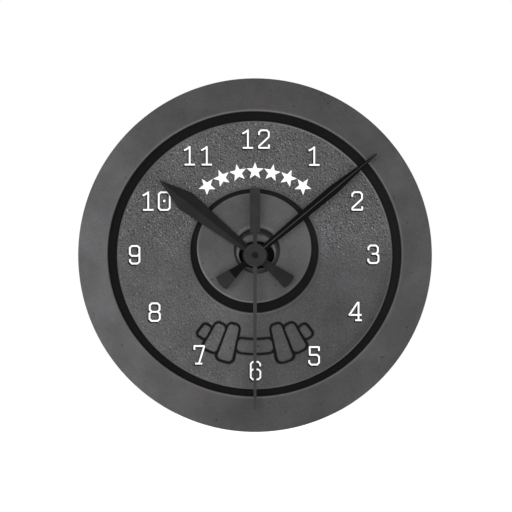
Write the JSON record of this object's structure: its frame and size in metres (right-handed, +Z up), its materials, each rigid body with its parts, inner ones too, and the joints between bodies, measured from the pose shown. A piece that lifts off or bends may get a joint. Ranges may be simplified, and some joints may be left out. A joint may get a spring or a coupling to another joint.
{
  "type": "round wall clock",
  "caption": "Round wall clock with a dial moulded like a gym weight plate, three hands, a quartz movement behind it with its gear train, a hanger and a battery cell.",
  "frame": {"origin": "on the hand axis, where it meets the flat back of the movement, which is the wall's face", "axes": "+Z up, through twelve o'clock; +Y into the wall, so the dial faces -Y; +X to the viewer's right"},
  "size_m": [0.2032, 0.0293, 0.2032],
  "materials": {
    "dial": "moulded to look like grey cast iron, white numerals",
    "hands": "painted satin black",
    "second_hand": "painted satin dark grey",
    "case": "black, fine texture",
    "wheel_white": "natural acetal",
    "wheel_green": "tinted acetal",
    "brass": "turned",
    "steel": "zinc plated",
    "black_steel": "black oxide",
    "rubber": "matt",
    "copper": "enamelled copper wire",
    "board": "phenolic board",
    "resin": "black resin",
    "magnet": "sintered magnet",
    "cell_metal": "nickel plated",
    "cell_label": "shrink sleeve, plain"
  },
  "bodies": {
    "clock_body": {"dial_plate": "dial", "dial_washer": "black_steel", "dial_nut": "black_steel", "rubber_washer": "rubber", "threaded_bushing": "brass", "hanger_bracket": "steel", "front_case": "case", "rear_cover": "case", "train_bridge": "case", "stator_plate": "steel", "coil_core": "steel", "coil_bobbin": "wheel_white", "coil_winding": "copper", "circuit_board": "board", "circuit_chip": "resin", "quartz_crystal": "steel", "contact_positive": "steel", "contact_negative": "steel"},
    "second_group": {"second_wheel": "wheel_green", "second_arbor": "steel", "second_hand": "second_hand", "second_boss": "second_hand"},
    "rotor": {"rotor_pinion": "wheel_white", "rotor_magnet": "magnet"},
    "intermediate": {"intermediate_wheel": "wheel_white"},
    "third": {"third_wheel": "wheel_white"},
    "centre": {"centre_wheel": "wheel_green"},
    "minute_group": {"cannon_pinion": "brass", "minute_hand": "hands", "minute_collet": "brass"},
    "minute_work": {"minute_work_wheel": "wheel_white"},
    "hour_group": {"hour_wheel": "wheel_green", "hour_hand": "hands", "hour_collet": "brass"},
    "setting": {"setting_knob": "case", "setting_arbor": "wheel_white"},
    "cell": {"cell_can": "cell_metal", "cell_label": "cell_label"}
  },
  "joints": [
    {"name": "second_turn", "type": "hinge", "parent": "clock_body", "child": "second_group", "pos_m": [0, 0, 0], "axis": [0, 1, 0], "continuous": true},
    {"name": "rotor_turn", "type": "hinge", "parent": "clock_body", "child": "rotor", "pos_m": [0.00195, 0, 0.01382], "axis": [0, 1, 0], "continuous": true},
    {"name": "intermediate_turn", "type": "hinge", "parent": "clock_body", "child": "intermediate", "pos_m": [-0.00141, 0, 0.008], "axis": [0, 1, 0], "continuous": true},
    {"name": "third_turn", "type": "hinge", "parent": "clock_body", "child": "third", "pos_m": [0.00686, 0, 0.00396], "axis": [0, 1, 0], "continuous": true},
    {"name": "centre_turn", "type": "hinge", "parent": "clock_body", "child": "centre", "pos_m": [0, 0, 0], "axis": [0, 1, 0], "continuous": true},
    {"name": "minute_turn", "type": "hinge", "parent": "clock_body", "child": "minute_group", "pos_m": [0, 0, 0], "axis": [0, 1, 0], "continuous": true},
    {"name": "minute_work_turn", "type": "hinge", "parent": "clock_body", "child": "minute_work", "pos_m": [-0.00624, 0, 0.0036], "axis": [0, 1, 0], "continuous": true},
    {"name": "hour_turn", "type": "hinge", "parent": "clock_body", "child": "hour_group", "pos_m": [0, 0, 0], "axis": [0, 1, 0], "continuous": true},
    {"name": "setting_turn", "type": "hinge", "parent": "clock_body", "child": "setting", "pos_m": [-0.01333, 0, 0.00485], "axis": [0, 1, 0], "continuous": true},
    {"name": "cell_slide", "type": "slide", "parent": "clock_body", "child": "cell", "axis": [0, 1, 0], "range_m": [0, 0.03]}
  ],
  "couplings": [
    {"joint": "rotor_turn", "follows": "second_turn", "ratio": 30},
    {"joint": "intermediate_turn", "follows": "second_turn", "ratio": -6},
    {"joint": "third_turn", "follows": "second_turn", "ratio": -0.125},
    {"joint": "centre_turn", "follows": "second_turn", "ratio": 0.016667},
    {"joint": "minute_work_turn", "follows": "minute_turn", "ratio": -0.33333},
    {"joint": "hour_turn", "follows": "minute_turn", "ratio": 0.083333},
    {"joint": "setting_turn", "follows": "minute_turn", "ratio": 1}
  ]
}
